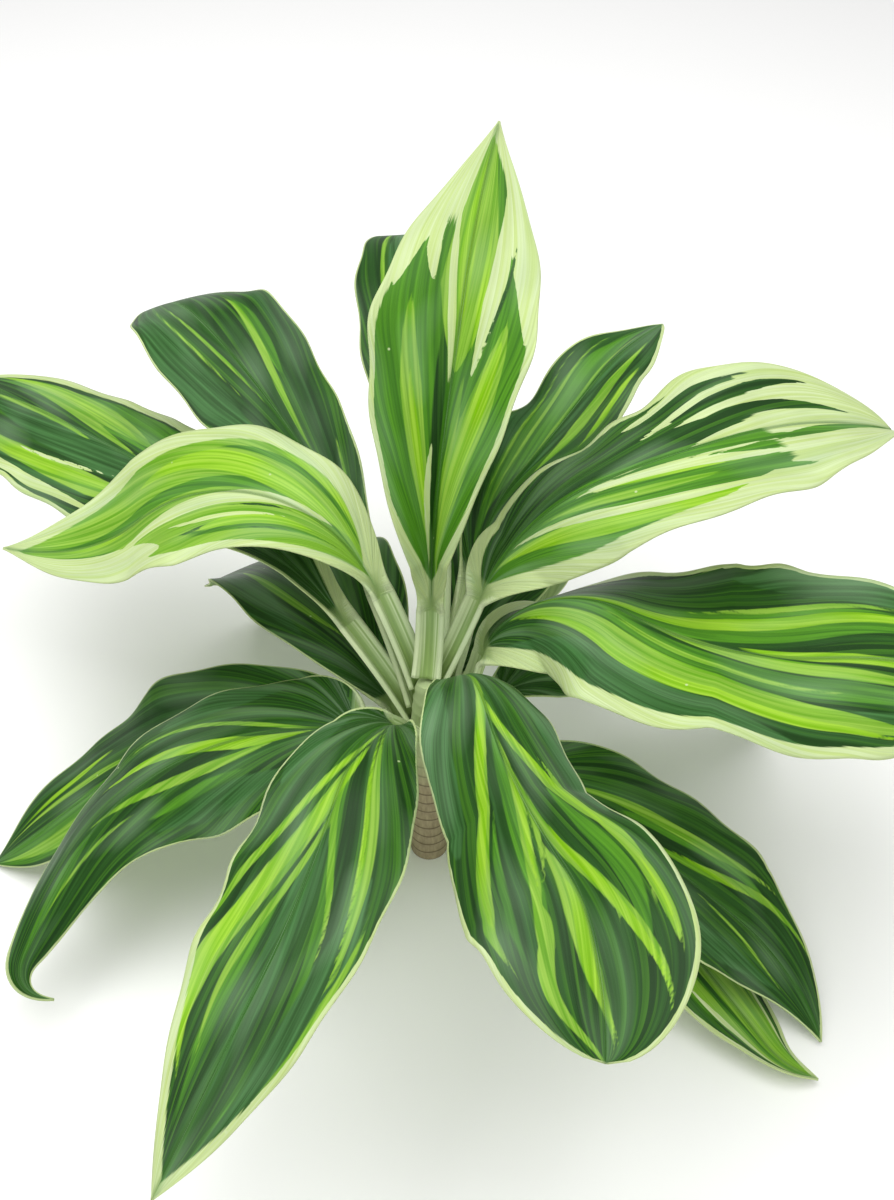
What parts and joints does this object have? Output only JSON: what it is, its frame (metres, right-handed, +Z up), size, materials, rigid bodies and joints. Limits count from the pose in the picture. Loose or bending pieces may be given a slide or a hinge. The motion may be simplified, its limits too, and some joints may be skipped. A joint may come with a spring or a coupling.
{
  "type": "ti plant",
  "caption": "Cut ti plant: a short ringed cane with broad pointed striped leaves, young ones rising and older ones drooping to the surface it stands on.",
  "frame": {"origin": "below the middle of the whole plant, on the surface that it stands on", "axes": "+Z up along the cane, +Y away from the side that the picture shows, +X to its right"},
  "size_m": [0.661, 0.6166, 0.4291],
  "materials": {
    "cane": "matte",
    "pale_leaf": "satin",
    "green_leaf": "satin"
  },
  "bodies": {
    "root": {"cane": "cane", "leaf_upright": "pale_leaf", "leaf_upper_right": "pale_leaf", "leaf_upper_left": "pale_leaf", "leaf_far_left": "green_leaf", "leaf_back_left": "green_leaf", "leaf_back": "green_leaf", "leaf_back_right": "green_leaf", "leaf_right": "green_leaf", "leaf_low_back_left": "green_leaf", "leaf_mid_back_right": "green_leaf", "leaf_low_left": "green_leaf", "leaf_curled_left": "green_leaf", "leaf_front_left": "green_leaf", "leaf_front_right": "green_leaf", "leaf_lower_right": "green_leaf", "leaf_lowest_right": "green_leaf", "leaf_low_right": "green_leaf"}
  },
  "joints": []
}
